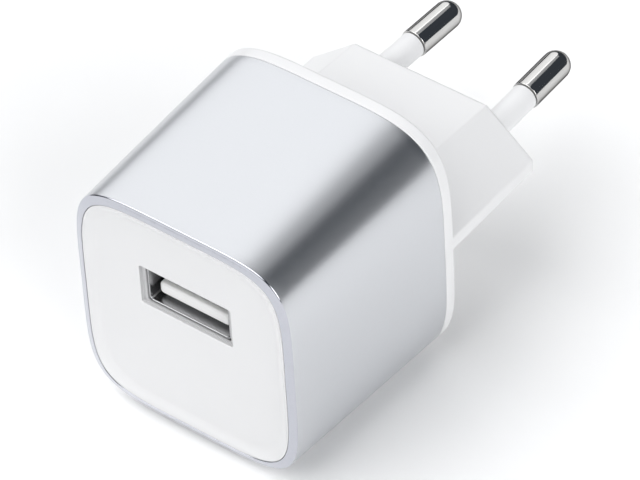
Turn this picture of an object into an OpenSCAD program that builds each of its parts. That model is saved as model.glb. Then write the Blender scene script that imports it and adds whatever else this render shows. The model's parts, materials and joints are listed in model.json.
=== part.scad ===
// USB wall charger with a two-pin europlug. The pins point along +Y, the USB port faces -Y and
// +Z is up. The origin is midway between the pins, on the face that meets the wall socket.
// Every separate piece of the charger is a node of its own.

/* [Body] */
// Half width of the metal body at its front edge
front_half_w = 16.9; // [16.5:0.1:18]
// Half height of the metal body at its front edge
front_half_h = 17.5; // [17:0.1:18.5]
// Half width of the metal body at its rear edge
rear_half_w = 18.15; // [18.1:0.05:19]
// Half height of the metal body at its rear edge
rear_half_h = 19.1; // [18.8:0.1:20]
// Length of the metal body, from its front edge to the white rim
sleeve_len = 29.5; // [29:0.5:32]
// Thickness of the metal wall
sleeve_wall = 1.05; // [0.9:0.05:1.1]
// How far the polished front bevel stands forward of the outer edge
bevel_depth = 0.3; // [0.1:0.05:0.4]
// Height of the body's centre above the line of the pins
body_z = -0.3; // [-0.5:0.1:0]

/* [Rear cover] */
// Thickness of the white rim behind the metal
rim_t = 1.95; // [1.6:0.05:2.1]
// Depth of the plug nose, from the rim to its flat end
nose_depth = 17.85; // [17.5:0.05:18.5]
// Half height of the nose at its flat end
nose_half_h = 6.8; // [6.5:0.05:7]
// Half width of the nose's flat top at its flat end
nose_half_flat = 10.55; // [10:0.05:11]
// Half width of the nose at its flat end
nose_half_w = 17.7; // [17.4:0.05:17.9]
// Half height of the narrow flat on each side of the nose
nose_side_h = 0.95; // [0.7:0.05:1.3]

/* [Plug pins] */
// Diameter of the bare metal end of a pin
pin_d = 4; // [3.9:0.05:4.1]
// Length of a pin from the flat end of the nose
pin_len = 19; // [18.5:0.5:19]
// Length of a pin's insulating sleeve
pin_sleeve_len = 10; // [9.5:0.5:10]
// Half the distance between the pins at the flat end of the nose
pin_half_gap = 9.3; // [9.2:0.05:9.4]
// Half the distance between the pins at their tips
pin_tip_half_gap = 8.75; // [8.7:0.05:8.9]

/* [USB port] */
// Height of the port's centre above the line of the pins
port_z = 4.1; // [3.5:0.1:4.5]
// Inner width of the metal shell of the port
port_w = 12.5; // [12.4:0.05:12.6]
// Inner height of the metal shell of the port
port_h = 5.12; // [5.05:0.01:5.2]
// Thickness of the tongue
tongue_t = 1.84; // [1.8:0.01:1.88]
// Width of the tongue
tongue_w = 11.1; // [11:0.05:11.2]

/* [Hidden] */

$fn = 48;
outline_steps = 72;
front_power = 5.1;
rear_power = 4.4;
clear = 0.05;
cut = 0.2;

// Depths along Y, from the flat end of the nose
rim_y = -nose_depth;
sleeve_rear_y = rim_y - rim_t;
sleeve_front_y = sleeve_rear_y - sleeve_len;
lip_y = sleeve_front_y - bevel_depth;

// Front cover
dish_depth = 0.6;
dish_w = 1.6;
face_y = lip_y + dish_depth;
cover_back_y = lip_y + 1.75;
opening_w = port_w + 1.9;
opening_h = port_h + 1.18;
throat_w = port_w + 0.7;
throat_h = port_h + 0.94;
throat_y = face_y + 0.5;
throat_lip = 0.3;
throat_relief = 0.5;
opening_r = 0.35;
throat_r = 0.5;
hook_x = 6;
hook_w = 5;
hook_t = 1.2;
hook_len = 5.2;
barb = 0.65;

// Main housing
tub_inset = sleeve_wall + clear;
tub_wall = 1.4;
tub_front_y = cover_back_y + clear;
tub_floor_y = sleeve_rear_y - 0.8;
nose_wall = 1.8;
nose_end_wall = 2;
nose_draft_h = 1.05;
nose_draft_w = 0.2;
corner_r = 0.6;
rim_round = 0.5;
rail_t = 0.6;
rail_reach = 13.1;
peg_x = 4.6;
peg_r = 0.9;

// Plug pins
pin_r = pin_d / 2;
shank_r = 1.5;
pin_sleeve_r = 1.84;
pin_hole_r = pin_sleeve_r + 0.12;
rivet_r = 2.3;
pin_tilt = atan((pin_half_gap - pin_tip_half_gap) / pin_len);
flange_r = 2.6;
flange_t = 1.1;
flange_y = -nose_end_wall - 2 * clear;
retainer_y = flange_y - flange_t - 4 * clear;
retainer_t = 2;
retainer_w = 2 * pin_half_gap + 5;
retainer_h = 7;
tag_y = retainer_y - retainer_t - clear;
strip_t = 0.4;
strip_w = 3;

// Main board, with its tall parts hanging below it
board_t = 1.2;
board_half_w = 13.7;
board_front_y = lip_y + 3;
board_rear_y = tub_floor_y - 0.8;
shell_t = 0.3;
shell_top = port_z + port_h / 2 + shell_t;
board_z = shell_top + 0.35;
board_top = board_z + board_t;
part_top = board_z - rail_t - 0.2;
lead_end = board_top + 0.8;
lead_r = 0.3;
hole_r = 0.42;
strip_y = board_rear_y - 0.6;

// Transformer
core_y = -28.6;
core_w = 13.4;
core_t = 4.6;
core_back = 2;
core_side = 1.9;
core_mid = 3.2;
core_leg = 4.6;
core_top = part_top - 0.5;
core_join = core_top - core_back - core_leg;
bobbin_wall = 0.6;
winding_t = 2.3;
tape_t = 0.15;
bobbin_flange = 0.9;
rail_pin_x = [-5, -5 / 3, 5 / 3, 5];
rail_pin_y = 4;

// Through-hole parts: [x, y] of each lead
input_cap = [10.9, -30.3];
input_cap_r = 3.15;
input_cap_len = 12;
input_cap_pitch = 2.5;
output_cap = [10.6, -41.2];
output_cap_len = 11;
resistor_at = [-12.3, -24.7];
choke_at = [11.4, -24.6];
safety_cap_at = [-10.6, -37.2];
safety_cap_pitch = 4;
diode_at = [-10.6, -43.2];

// USB receptacle
shell_front_y = face_y + 0.65;
shell_len = 13.45;
shell_r = 0.4;
shell_rear_y = shell_front_y + shell_len;
floor_z = port_z - port_h / 2;
tongue_z = floor_z + 0.65;
tongue_front_y = face_y + 1.65;
tongue_r = 0.5;
block_front_y = tongue_front_y + 8.4;
contact_x = [-3.5, -1, 1, 3.5];
contact_w = 1;
contact_t = 0.25;
slot_w = 1.3;
slot_floor = 0.5;
contact_root_y = block_front_y - 0.15;
contact_root_z = tongue_z + 1.35;

// ---------------------------------------------------------------- helpers

function half_w(y) = front_half_w
    + (rear_half_w - front_half_w) * (y - sleeve_front_y) / sleeve_len;
function half_h(y) = front_half_h
    + (rear_half_h - front_half_h) * (y - sleeve_front_y) / sleeve_len;
function power(y) = front_power
    + (rear_power - front_power) * (y - sleeve_front_y) / sleeve_len;

// One ring of points: the body's rounded-square outline at y_shape, drawn inset, at depth y
function ring(y_shape, inset, y) =
    [for (i = [0 : outline_steps - 1])
        let (
            a = 360 * i / outline_steps,
            c = cos(a),
            s = sin(a),
            n = 2 / power(y_shape)
        )
        [
            (half_w(y_shape) - inset) * sign(c) * pow(abs(c), n),
            y,
            body_z + (half_h(y_shape) - inset) * sign(s) * pow(abs(s), n)
        ]];

// A closed solid through rings listed from the front to the rear as [y_shape, inset, y]
module loft(rings) {
    n = outline_steps;
    last = len(rings) - 1;
    polyhedron(
        points = [for (r = rings) each ring(r[0], r[1], r[2])],
        faces = [
            [for (i = [n - 1 : -1 : 0]) i],
            for (k = [0 : last - 1], i = [0 : n - 1])
                let (j = (i + 1) % n)
                [k * n + i, k * n + j, (k + 1) * n + j, (k + 1) * n + i],
            [for (i = [0 : n - 1]) last * n + i]
        ]
    );
}

// A straight stretch of the body's outline, inset from the outer surface
module body_slice(y0, y1, inset) {
    loft([[y0, inset, y0], [y1, inset, y1]]);
}

// A box given by its centre in X and its limits in Y and Z
module box(x, w, y0, y1, z0, z1) {
    translate([x - w / 2, y0, z0]) cube([w, y1 - y0, z1 - z0]);
}

// The eight round corners of the nose's outline, moved in by inset, as thin discs at depth y
module nose_corners(y, half_flat, half_tall, half_wide, half_side, inset) {
    slant = atan((half_tall - half_side) / (half_wide - half_flat));
    reach = inset + corner_r;
    for (side = [-1, 1], up = [-1, 1])
        for (p = [
            [half_flat - reach * tan(slant / 2), half_tall - reach],
            [half_wide - reach, half_side - reach * tan(45 - slant / 2)]
        ])
            translate([side * p[0], y, up * p[1]])
                rotate([-90, 0, 0]) cylinder(r = corner_r, h = 0.01, $fn = 32);
}

// The drafted nose between two depths, with its faces moved in by inset
module nose_solid(y0, y1, inset) {
    hull() {
        nose_corners(y1 - 0.01, nose_half_flat, nose_half_h, nose_half_w, nose_side_h, inset);
        nose_corners(y0, nose_half_flat + nose_draft_w, nose_half_h + nose_draft_h,
            nose_half_w + nose_draft_w, nose_side_h, inset);
    }
}

// Puts a shape drawn along +Z on the axis of the pin on one side, from the nose's flat end
module on_pin_axis(side) {
    translate([side * pin_half_gap, 0, 0])
        rotate([0, 0, side * pin_tilt]) rotate([-90, 0, 0]) children();
}

// A plate with round corners, drawn flat
module rounded_rect(w, h, r) {
    square([w - 2 * r, h], center = true);
    square([w, h - 2 * r], center = true);
    for (x = [-1, 1], y = [-1, 1])
        translate([x * (w / 2 - r), y * (h / 2 - r)]) circle(r);
}

// A bar with round corners that fills the port between two depths
module port_prism(w, h, r, y0, y1) {
    translate([0, y1, port_z]) rotate([90, 0, 0]) linear_extrude(y1 - y0) rounded_rect(w, h, r);
}

// A round wire from z0 up to z1
module lead(x, y, z0, z1) {
    translate([x, y, z0]) cylinder(r = lead_r, h = z1 - z0, $fn = 24);
}

// A round can hanging below the board, with a crimped neck and two leads
module electrolytic(x, y, r, len, pitch) {
    neck = 1.4;
    translate([x, y, part_top - len])
        rotate_extrude() polygon([
            [0, 0], [r - 0.4, 0], [r, 0.4],
            [r, len - neck - 0.4], [r - 0.3, len - neck], [r, len - neck + 0.4],
            [r, len - 0.3], [r - 0.3, len], [0, len]
        ]);
    for (s = [-1, 1]) lead(x, y + s * pitch / 2, part_top - 0.1, lead_end);
}

// A moulded chip lying on top of the board
module smd(x, y, w, d, h) {
    foot = 0.15;
    box(x, w, y - d / 2, y + d / 2, board_top + foot, board_top + h);
}

// ---------------------------------------------------------------- outside

module metal_sleeve() {
    color([0.78, 0.79, 0.81])
    difference() {
        loft([
            [sleeve_front_y, sleeve_wall, lip_y],
            [sleeve_front_y, 0, sleeve_front_y],
            [sleeve_rear_y, 0, sleeve_rear_y]
        ]);
        loft([
            [lip_y - cut, sleeve_wall, lip_y - cut],
            [sleeve_rear_y + cut, sleeve_wall, sleeve_rear_y + cut]
        ]);
    }
}

module cover_hook(x, up) {
    top = half_h(cover_back_y) - tub_inset - tub_wall - 0.45;
    z1 = body_z + up * top;
    z0 = z1 - up * hook_t;
    y1 = cover_back_y + hook_len;
    box(x, hook_w, cover_back_y - cut, y1, min(z0, z1), max(z0, z1));
    translate([x - hook_w / 2, y1 - 1.8, z1])
        mirror([0, 0, up < 0 ? 1 : 0])
        rotate([90, 0, 90]) linear_extrude(hook_w)
            polygon([[0, -0.2], [0, barb + 0.35], [0.4, barb + 0.35], [1.8, -0.2]]);
}

module front_cover() {
    edge = sleeve_wall + clear;
    color([0.93, 0.93, 0.93])
    difference() {
        union() {
            loft([
                [lip_y, edge + dish_w, face_y],
                [lip_y, edge + 0.9, face_y - 0.16],
                [lip_y, edge + 0.3, face_y - 0.45],
                [lip_y, edge + 0.05, lip_y + 0.03],
                [lip_y, edge, lip_y + 0.1],
                [cover_back_y, edge, cover_back_y]
            ]);
            for (x = [-hook_x, hook_x], up = [-1, 1]) cover_hook(x, up);
        }
        port_prism(opening_w, opening_h, opening_r, lip_y - 1, throat_y);
        port_prism(throat_w, throat_h, throat_r, lip_y - 1, cover_back_y + 1);
        port_prism(throat_w + 2 * throat_relief, throat_h + 2 * throat_relief,
            throat_r + throat_relief, throat_y + throat_lip, cover_back_y + 1);
    }
}

module board_rails() {
    intersection() {
        body_slice(tub_front_y, tub_floor_y + cut, tub_inset + 0.3);
        for (side = [-1, 1], z = [board_z - clear - rail_t, board_top + clear])
            box(side * (rail_reach + 4), 8, board_front_y - 0.5, tub_floor_y + cut, z, z + rail_t);
    }
}

module main_housing() {
    color([0.95, 0.95, 0.95])
    difference() {
        union() {
            difference() {
                union() {
                    body_slice(tub_front_y, sleeve_rear_y + cut, tub_inset);
                    loft([
                        [sleeve_rear_y, 0, sleeve_rear_y + clear],
                        [rim_y - rim_round, 0, rim_y - rim_round],
                        [rim_y - rim_round / 3, 0.15, rim_y - rim_round / 3],
                        [rim_y, 0.5, rim_y]
                    ]);
                    nose_solid(rim_y - cut, 0, 0);
                }
                body_slice(tub_front_y - cut, tub_floor_y, tub_inset + tub_wall);
                nose_solid(tub_floor_y - cut, -nose_end_wall, nose_wall);
            }
            board_rails();
            for (side = [-1, 1])
                translate([side * peg_x, tag_y - 1, 0]) rotate([-90, 0, 0])
                    cylinder(r = peg_r, h = 1 - tag_y - nose_end_wall + cut);
        }
        for (side = [-1, 1]) {
            on_pin_axis(side) translate([0, 0, -nose_end_wall - cut])
                cylinder(r = pin_hole_r, h = nose_end_wall + 2 * cut);
            for (up = [-1, 1])
                box(side * hook_x, hook_w + 0.4, cover_back_y + hook_len - 2.2, cover_back_y + hook_len - 0.9,
                    body_z + (up > 0 ? 10 : -half_h(0)), body_z + (up > 0 ? half_h(0) : -10));
        }
    }
}

module pin_retainer() {
    color([0.9, 0.9, 0.88])
    difference() {
        translate([0, retainer_y, 0]) rotate([90, 0, 0])
            linear_extrude(retainer_t) rounded_rect(retainer_w, retainer_h, 1.5);
        for (side = [-1, 1]) {
            on_pin_axis(side) translate([0, 0, -retainer_t - 6])
                cylinder(r = shank_r + clear, h = retainer_t + 8);
            translate([side * peg_x, 0, 0]) rotate([90, 0, 0])
                cylinder(r = peg_r + clear, h = 10);
        }
    }
}

// ---------------------------------------------------------------- plug pins

module pin(side) {
    tail = -tag_y + strip_t + 0.15;
    color([0.75, 0.74, 0.72])
    on_pin_axis(side) union() {
        rotate_extrude() polygon([
            [0, -tail - 0.6], [rivet_r, -tail - 0.6], [rivet_r, -tail], [shank_r, -tail],
            [shank_r, flange_y - flange_t], [flange_r, flange_y - flange_t],
            [flange_r, flange_y], [shank_r, flange_y],
            [shank_r, pin_sleeve_len], [pin_r, pin_sleeve_len],
            [pin_r, pin_len - pin_r], [0, pin_len - pin_r]
        ]);
        translate([0, 0, pin_len - pin_r]) rotate_extrude()
            intersection() {
                circle(pin_r);
                square([pin_r, pin_r]);
            }
    }
}

module pin_left() {
    pin(-1);
}

module pin_right() {
    pin(1);
}

module pin_sleeve(side) {
    color([0.94, 0.94, 0.94])
    on_pin_axis(side) translate([0, 0, -nose_end_wall])
        rotate_extrude() translate([shank_r, 0])
            square([pin_sleeve_r - shank_r, nose_end_wall + pin_sleeve_len]);
}

module pin_sleeve_left() {
    pin_sleeve(-1);
}

module pin_sleeve_right() {
    pin_sleeve(1);
}

// A bent strip from a pin's tail to the main board
module mains_strip(side) {
    arm_z = 2.4;
    x = side * (pin_half_gap + 0.15);
    color([0.85, 0.7, 0.35])
    difference() {
        union() {
            box(x, strip_w + 1.8, tag_y - strip_t, tag_y, -arm_z, arm_z + strip_t);
            box(x, strip_w, strip_y, tag_y, arm_z, arm_z + strip_t);
            box(x, strip_w, strip_y, strip_y + strip_t, arm_z, board_z - 0.6);
            box(x, 1.6, strip_y, strip_y + strip_t, board_z - 0.7, lead_end);
        }
        on_pin_axis(side) translate([0, 0, tag_y - 3]) cylinder(r = shank_r + clear, h = 5);
    }
}

module mains_strip_left() {
    mains_strip(-1);
}

module mains_strip_right() {
    mains_strip(1);
}

// ---------------------------------------------------------------- board and parts

module board_hole(x, y, r) {
    translate([x, y, board_z - cut]) cylinder(r = r, h = board_t + 2 * cut, $fn = 24);
}

module shell_legs(grow) {
    for (side = [-1, 1], y = [shell_front_y + 4.2, shell_front_y + 9.9])
        box(side * (port_w / 2 + shell_t / 2), shell_t + 2 * grow, y - 0.8 - grow, y + 0.8 + grow,
            shell_top - 1.5, lead_end + grow);
}

module main_board() {
    color([0.12, 0.42, 0.25])
    difference() {
        box(0, 2 * board_half_w, board_front_y, board_rear_y, board_z, board_top);
        shell_legs(0.15);
        for (side = [-1, 1]) {
            box(side * (pin_half_gap + 0.15), 1.8, strip_y - 0.1, strip_y + strip_t + 0.1,
                board_z - cut, board_top + cut);
            for (s = [-1, 1])
                board_hole(side * input_cap[0], input_cap[1] + s * input_cap_pitch / 2, hole_r);
            for (x = rail_pin_x) board_hole(x, core_y + side * rail_pin_y, hole_r);
            board_hole(output_cap[0], output_cap[1] + side * input_cap_pitch / 2, hole_r);
            board_hole(choke_at[0] + side * 1.25, choke_at[1], hole_r);
            board_hole(safety_cap_at[0] + side * safety_cap_pitch / 2, safety_cap_at[1], hole_r);
            board_hole(resistor_at[0] + 0.8 * (1 + side), resistor_at[1], hole_r);
            board_hole(diode_at[0] + 1.1 * (1 + side), diode_at[1], hole_r);
        }
        for (x = contact_x) board_hole(x, shell_rear_y - 1.3, hole_r);
    }
}

// One half of the ferrite core, opening downwards from z = 0
module core_half() {
    translate([0, core_y, 0]) {
        translate([-core_w / 2, -core_t / 2, -core_back]) cube([core_w, core_t, core_back]);
        for (x = [-core_w / 2, core_w / 2 - core_side])
            translate([x, -core_t / 2, -core_back - core_leg]) cube([core_side, core_t, core_leg + 0.1]);
        translate([-core_mid / 2, -core_t / 2, -core_back - core_leg])
            cube([core_mid, core_t, core_leg + 0.1]);
    }
}

module transformer_core_upper() {
    color([0.2, 0.2, 0.21])
    translate([0, 0, core_top]) core_half();
}

module transformer_core_lower() {
    color([0.2, 0.2, 0.21])
    translate([0, 0, 2 * core_join - core_top]) mirror([0, 0, 1]) core_half();
}

module coil_ring(z0, z1, gap, t) {
    w = core_mid + 2 * (clear + bobbin_wall + gap);
    d = core_t + 2 * (clear + bobbin_wall + gap);
    translate([0, core_y, z0]) linear_extrude(z1 - z0) difference() {
        rounded_rect(w + 2 * t, d + 2 * t, t + 0.3);
        square([w, d], center = true);
    }
}

module transformer_bobbin() {
    hole_w = core_mid + 2 * clear;
    hole_d = core_t + 2 * clear;
    tube_w = hole_w + 2 * bobbin_wall;
    tube_d = hole_d + 2 * bobbin_wall;
    window = core_leg - clear;
    flange_w = core_w - 2 * core_side - 0.2;
    flange_d = hole_d + 2 * (bobbin_wall + winding_t + 0.2);
    color([0.15, 0.15, 0.16])
    difference() {
        union() {
            box(0, tube_w, core_y - tube_d / 2, core_y + tube_d / 2, core_join - window, core_join + window);
            for (z = [core_join - window, core_join + window - bobbin_flange])
                box(0, flange_w, core_y - flange_d / 2, core_y + flange_d / 2, z, z + bobbin_flange);
            for (side = [-1, 1])
                translate([-core_w / 2, core_y + side * rail_pin_y - 1.3, core_join + window - bobbin_flange])
                    cube([core_w, 2.6, part_top - core_join - window + bobbin_flange]);
        }
        box(0, hole_w, core_y - hole_d / 2, core_y + hole_d / 2, core_join - 10, core_join + 10);
        for (side = [-1, 1], x = rail_pin_x)
            translate([x, core_y + side * rail_pin_y, part_top - 2.5]) cylinder(r = lead_r, h = 5, $fn = 24);
    }
}

module transformer_winding() {
    color([0.72, 0.38, 0.2])
    coil_ring(core_join - core_leg + clear + bobbin_flange, core_join + core_leg - clear - bobbin_flange,
        0, winding_t - tape_t);
}

module transformer_tape() {
    color([0.93, 0.8, 0.2])
    coil_ring(core_join - core_leg + clear + bobbin_flange, core_join + core_leg - clear - bobbin_flange,
        winding_t - tape_t, tape_t);
}

module transformer_pins() {
    color([0.8, 0.8, 0.82])
    for (side = [-1, 1], x = rail_pin_x)
        lead(x, core_y + side * rail_pin_y, part_top - 2.5, lead_end);
}

module input_capacitor_left() {
    color([0.1, 0.1, 0.12])
    electrolytic(-input_cap[0], input_cap[1], input_cap_r, input_cap_len, input_cap_pitch);
}

module input_capacitor_right() {
    color([0.1, 0.1, 0.12])
    electrolytic(input_cap[0], input_cap[1], input_cap_r, input_cap_len, input_cap_pitch);
}

module output_capacitor() {
    color([0.12, 0.16, 0.35])
    electrolytic(output_cap[0], output_cap[1], input_cap_r, output_cap_len, input_cap_pitch);
}

// A round part standing on end, with one straight lead and one folded back beside it
module standing_axial(x, y, r, len, fold) {
    z0 = part_top - 0.8 - len;
    translate([x, y, z0]) cylinder(r = r, h = len);
    lead(x, y, z0 + len - 0.1, lead_end);
    lead(x, y, z0 - 0.9, z0 + 0.1);
    lead(x + fold, y, z0 - 0.9, lead_end);
    box(x + fold / 2, abs(fold), y - lead_r, y + lead_r, z0 - 0.9, z0 - 0.9 + 2 * lead_r);
}

module fusible_resistor() {
    color([0.35, 0.55, 0.65])
    standing_axial(resistor_at[0], resistor_at[1], 1.2, 6.3, 1.6);
}

module output_diode() {
    color([0.13, 0.13, 0.14])
    standing_axial(diode_at[0], diode_at[1], 1.35, 5.2, 2.2);
}

module input_choke() {
    len = 6.5;
    r = 2.3;
    color([0.25, 0.3, 0.25])
    union() {
        translate([choke_at[0], choke_at[1], part_top - len])
            rotate_extrude() polygon([
                [0, 0], [r, 0], [r, 0.9], [r - 0.35, 0.9],
                [r - 0.35, len - 0.9], [r, len - 0.9], [r, len], [0, len]
            ]);
        for (s = [-1, 1]) lead(choke_at[0] + s * 1.25, choke_at[1], part_top - 0.1, lead_end);
    }
}

module safety_capacitor() {
    r = 3.4;
    t = 2.6;
    color([0.15, 0.35, 0.75])
    union() {
        translate([safety_cap_at[0], safety_cap_at[1], part_top - 1 - r]) rotate([90, 0, 0])
            rotate_extrude() polygon([
                [0, -t / 2], [r - 0.8, -t / 2], [r, -t / 5], [r, t / 5], [r - 0.8, t / 2], [0, t / 2]
            ]);
        for (s = [-1, 1])
            lead(safety_cap_at[0] + s * safety_cap_pitch / 2, safety_cap_at[1],
                part_top - 1 - r + 0.6, lead_end);
    }
}

// A chip package on the board's top side, with feet along two edges
module chip(x, y, w, d, h, feet, foot_w) {
    smd(x, y, w, d, h);
    pitch = w / feet;
    for (i = [0 : feet - 1], s = [-1, 1]) {
        foot_x = x - w / 2 + pitch * (i + 0.5);
        foot_y = y + s * (d / 2 + 0.45);
        box(foot_x, foot_w, foot_y - 0.5, foot_y + 0.5, board_top, board_top + 0.16);
    }
}

module bridge_rectifier() {
    color([0.14, 0.14, 0.15])
    chip(-7.4, -28.6, 4.8, 3.6, 2.4, 2, 0.7);
}

module controller_chip() {
    color([0.12, 0.12, 0.13])
    chip(4.6, -28.9, 4.9, 3.9, 1.6, 4, 0.45);
}

module snubber_diode() {
    color([0.15, 0.15, 0.16])
    chip(-1.4, -28.6, 4.3, 2.6, 2.2, 1, 1.6);
}

module chip_parts() {
    // [x, y, turned] of each small resistor or capacitor on the board's top side
    places = [
        [9, -28.6, true], [-4.2, -22.6, false], [0, -22.6, false], [4.2, -22.6, false],
        [-4.2, -34.5, false], [0, -34.5, false], [8.6, -35, true], [-8.5, -33.8, false],
        [-3, -41, true], [0, -41, true], [3, -41, true]
    ];
    color([0.3, 0.26, 0.22])
    for (p = places) {
        half_d = p[2] ? 1 : 0.62;
        box(p[0], p[2] ? 1.25 : 2, p[1] - half_d, p[1] + half_d, board_top, board_top + 0.55);
    }
}

module insulation_sheet() {
    sheet_y = core_y - 6.1;
    color([0.85, 0.88, 0.8])
    box(0, 18, sheet_y, sheet_y + 0.3, core_join - 7, board_z - 0.1);
}

// ---------------------------------------------------------------- USB receptacle

module usb_shell() {
    color([0.72, 0.72, 0.72])
    difference() {
        union() {
            port_prism(port_w + 2 * shell_t, port_h + 2 * shell_t, shell_r + shell_t,
                shell_front_y, shell_rear_y);
            shell_legs(0);
        }
        port_prism(port_w, port_h, shell_r, shell_front_y - 1, shell_rear_y + 1);
        // The notch in the roof that the contacts rise through
        box(0, 8.4, shell_rear_y - 2.2, shell_rear_y + 1, shell_top - 1, shell_top + 1);
        // Relief cuts round the spring fingers in the floor and the roof
        for (x = [-3.2, 3.2], dx = [-1.3, 1.3])
            box(x + dx, 0.3, shell_front_y + 2.5, shell_front_y + 7.5, floor_z - 1, shell_top + 0.2);
    }
}

module usb_insulator() {
    color([0.93, 0.93, 0.92])
    difference() {
        union() {
            translate([0, block_front_y + 0.2, tongue_z + tongue_t / 2]) rotate([90, 0, 0])
                linear_extrude(block_front_y + 0.2 - tongue_front_y)
                rounded_rect(tongue_w, tongue_t, tongue_r);
            port_prism(port_w - 2 * clear, port_h - 2 * clear, shell_r - clear,
                block_front_y, shell_rear_y - 0.2);
        }
        for (x = contact_x) {
            box(x, slot_w, tongue_front_y + 0.8, block_front_y,
                tongue_z + slot_floor, tongue_z + tongue_t + 1);
            box(x, contact_w + 2 * clear, block_front_y - 0.1, shell_rear_y - 1.7,
                contact_root_z - contact_t / 2 - clear, contact_root_z + contact_t / 2 + clear);
            box(x, contact_w + 2 * clear, shell_rear_y - 1.7 - clear, shell_rear_y,
                contact_root_z - contact_t / 2 - clear, shell_top + 1);
        }
    }
}

// The fixed rear ends of the four contacts, which run back and up to the board
module usb_contact_tails() {
    color([0.88, 0.72, 0.3])
    for (x = contact_x) {
        box(x, contact_w, block_front_y, shell_rear_y - 1.3 + contact_t / 2,
            contact_root_z - contact_t / 2, contact_root_z + contact_t / 2);
        box(x, 0.55, shell_rear_y - 1.3 - contact_t / 2, shell_rear_y - 1.3 + contact_t / 2,
            contact_root_z, lead_end);
    }
}

// The free end of one contact, a beam with a round root, sprung upwards out of its slot in the tongue
module usb_contact(x) {
    color([0.9, 0.75, 0.35])
    translate([x + contact_w / 2, contact_root_y, contact_root_z])
        rotate([0, -90, 0]) rotate([0, 0, -90]) union() {
            cylinder(r = contact_t / 2, h = contact_w);
            linear_extrude(contact_w) polygon([
                [0, -contact_t / 2], [0, contact_t / 2], [4.2, contact_t / 2 + 0.25],
                [5, contact_t / 2 + 0.7], [5.6, contact_t / 2 + 0.7], [6.7, contact_t / 2 - 0.2],
                [6.7, -contact_t / 2 - 0.2], [5.4, 0.46], [5.1, 0.46], [4.3, -contact_t / 2 + 0.2]
            ]);
        }
}

module usb_contact_1() {
    usb_contact(contact_x[0]);
}

module usb_contact_2() {
    usb_contact(contact_x[1]);
}

module usb_contact_3() {
    usb_contact(contact_x[2]);
}

module usb_contact_4() {
    usb_contact(contact_x[3]);
}

metal_sleeve();
front_cover();
main_housing();
pin_retainer();
pin_left();
pin_right();
pin_sleeve_left();
pin_sleeve_right();
mains_strip_left();
mains_strip_right();
main_board();
transformer_core_upper();
transformer_core_lower();
transformer_bobbin();
transformer_winding();
transformer_tape();
transformer_pins();
input_capacitor_left();
input_capacitor_right();
bridge_rectifier();
fusible_resistor();
input_choke();
safety_capacitor();
controller_chip();
snubber_diode();
output_diode();
output_capacitor();
chip_parts();
insulation_sheet();
usb_shell();
usb_insulator();
usb_contact_tails();
usb_contact_1();
usb_contact_2();
usb_contact_3();
usb_contact_4();
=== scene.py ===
"""The looks of a USB wall charger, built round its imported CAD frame.

The pins point along +Y, the USB port faces -Y and +Z is up. Lengths are in millimetres in this
script, and become metres where a mesh, light or camera is made.
"""

import json
from math import atan, cos, pi, radians, sin, tan

import bmesh
import bpy
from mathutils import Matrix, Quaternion, Vector
from mathutils.geometry import tessellate_polygon


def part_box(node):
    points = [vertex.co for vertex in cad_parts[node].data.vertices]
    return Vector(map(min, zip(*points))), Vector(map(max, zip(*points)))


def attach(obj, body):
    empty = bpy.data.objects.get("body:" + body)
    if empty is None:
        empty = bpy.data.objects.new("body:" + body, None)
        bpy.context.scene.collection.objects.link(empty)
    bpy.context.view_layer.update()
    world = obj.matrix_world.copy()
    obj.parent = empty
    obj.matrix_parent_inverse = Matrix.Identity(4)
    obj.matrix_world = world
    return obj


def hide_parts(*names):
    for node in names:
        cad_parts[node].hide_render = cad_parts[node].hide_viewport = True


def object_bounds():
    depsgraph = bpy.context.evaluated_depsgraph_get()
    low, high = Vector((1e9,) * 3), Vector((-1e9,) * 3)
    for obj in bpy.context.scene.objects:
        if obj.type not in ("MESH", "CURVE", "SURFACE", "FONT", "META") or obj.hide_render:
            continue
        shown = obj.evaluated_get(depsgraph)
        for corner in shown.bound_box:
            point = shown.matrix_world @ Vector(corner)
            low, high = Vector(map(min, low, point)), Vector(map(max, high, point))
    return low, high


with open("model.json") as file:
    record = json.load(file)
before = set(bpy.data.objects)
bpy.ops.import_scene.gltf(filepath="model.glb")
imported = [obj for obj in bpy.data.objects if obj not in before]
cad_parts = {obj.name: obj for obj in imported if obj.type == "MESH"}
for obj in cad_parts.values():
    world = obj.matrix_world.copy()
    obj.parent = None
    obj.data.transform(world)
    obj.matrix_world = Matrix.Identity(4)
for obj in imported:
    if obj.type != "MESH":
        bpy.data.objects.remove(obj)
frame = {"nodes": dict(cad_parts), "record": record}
cad_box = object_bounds()

MM = 0.001
BODY = "charger"
SHARP_EDGE = radians(32)
RING_POINTS = 288


# ------------------------------------------------------------------ sizes from the frame

def span(node):
    """Lowest and highest corner of a CAD node, in millimetres."""
    low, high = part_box(node)
    return low / MM, high / MM


def section(node, y_from, y_to):
    """Half width, half height and middle height of a CAD node between two depths."""
    points = [v.co / MM for v in frame["nodes"][node].data.vertices]
    points = [p for p in points if y_from <= p.y <= y_to]
    top, bottom = max(p.z for p in points), min(p.z for p in points)
    return max(p.x for p in points), (top - bottom) / 2, (top + bottom) / 2


sleeve_low, sleeve_high = span("metal_sleeve")
shell_low, shell_high = span("usb_shell")
insulator_low, insulator_high = span("usb_insulator")

# The body's outline is a squircle that grows and softens from the front to the rear
BEVEL_DEPTH = 0.3
LIP_Y = sleeve_low.y
FRONT_Y = LIP_Y + BEVEL_DEPTH
REAR_Y = sleeve_high.y
FRONT_HALF_W, FRONT_HALF_H, BODY_Z = section("metal_sleeve", LIP_Y, FRONT_Y + 0.05)
REAR_HALF_W, REAR_HALF_H, _ = section("metal_sleeve", REAR_Y - 0.05, REAR_Y)
FRONT_POWER = 5.1
REAR_POWER = 4.4
SLEEVE_WALL = 1.05

# Clearance between fitted pieces, and the inset of those that fit inside the sleeve
GAP = 0.05
FIT_INSET = SLEEVE_WALL + GAP

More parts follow.
